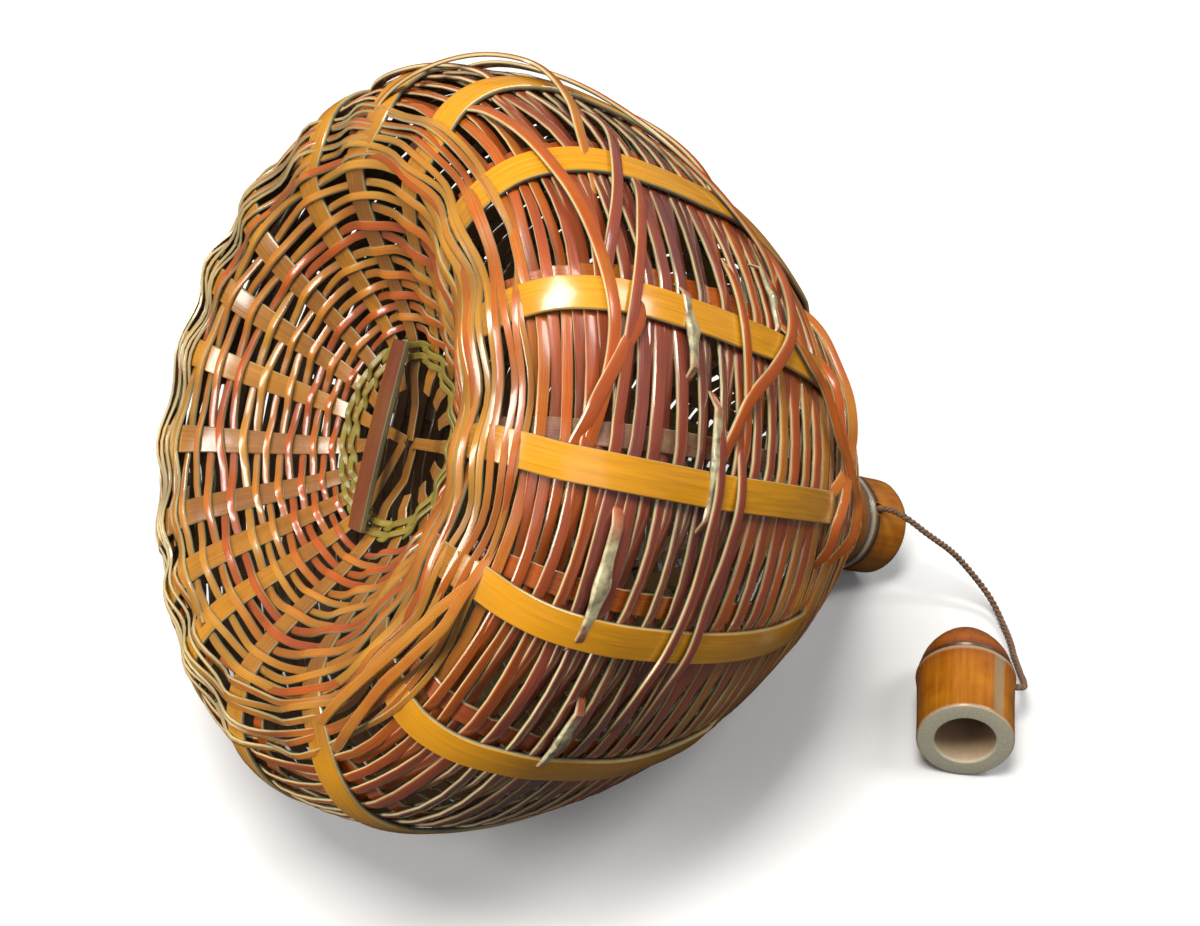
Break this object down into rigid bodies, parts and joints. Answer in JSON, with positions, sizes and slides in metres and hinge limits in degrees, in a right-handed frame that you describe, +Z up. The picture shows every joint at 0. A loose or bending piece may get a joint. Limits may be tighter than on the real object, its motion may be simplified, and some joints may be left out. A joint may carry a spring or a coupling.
{
  "type": "ikebana basket with a bamboo neck and a tethered stopper",
  "caption": "Round woven bamboo flower basket lying on its side, with a cane neck and a hollow cane stopper tied to it by a twisted cord.",
  "frame": {"origin": "middle of the box round basket and stopper, on the table", "axes": "+X from the basket's base towards its neck, +Y across, +Z up, with the basket lying on its belly and on the neck's mouth"},
  "size_m": [0.2443, 0.2022, 0.197],
  "materials": {
    "strip": "split bamboo, smoked and lacquered amber, glossy",
    "rib": "split bamboo, smoked, satin",
    "weave": "split bamboo, smoked red-brown, glossy skins and pale cut edges",
    "strand": "split bamboo, smoked orange-brown, glossy",
    "twining": "split rattan, yellow-green, satin",
    "bar": "flat bamboo, smoked and lacquered, bare",
    "bamboo": "whole cane, smoked and polished amber, pale cut ends",
    "cord": "twisted dark brown fibre cord"
  },
  "bodies": {
    "basket": {"strip_01": "strip", "strip_02": "strip", "strip_03": "strip", "strip_04": "strip", "strip_05": "strip", "strip_06": "strip", "strip_07": "strip", "strip_08": "strip", "strip_09": "strip", "strip_10": "strip", "strip_11": "strip", "strip_12": "strip", "strip_13": "strip", "strip_14": "strip", "strip_15": "strip", "strip_16": "strip", "strip_17": "strip", "inner_rib_01": "rib", "inner_rib_02": "rib", "inner_rib_03": "rib", "inner_rib_04": "rib", "inner_rib_05": "rib", "inner_rib_06": "rib", "inner_rib_07": "rib", "inner_rib_08": "rib", "inner_rib_09": "rib", "inner_rib_10": "rib", "inner_rib_11": "rib", "inner_rib_12": "rib", "inner_rib_13": "rib", "inner_rib_14": "rib", "inner_rib_15": "rib", "inner_rib_16": "rib", "inner_rib_17": "rib", "base_weave": "weave", "foot_weave": "weave", "side_weave": "weave", "shoulder_weave": "weave", "foot_strand_1": "strand", "foot_strand_2": "strand", "waist_strand_1": "strand", "waist_strand_2": "strand", "shoulder_strand_1": "strand", "hub_twining_1": "twining", "hub_twining_2": "twining", "base_bar": "bar", "neck": "bamboo"},
    "tether": {"cord": "cord"},
    "stopper": {"stopper": "bamboo"}
  },
  "joints": [
    {"name": "tether_swing", "type": "hinge", "parent": "basket", "child": "tether", "pos_m": [0.10271, -0.00921, 0.02987], "axis": [0, 0, 1], "range_deg": [-25, 60]},
    {"name": "stopper_swivel", "type": "hinge", "parent": "tether", "child": "stopper", "pos_m": [0.10672, -0.07906, 0.01456], "axis": [0, 0, 1], "range_deg": [-30, 50]}
  ]
}
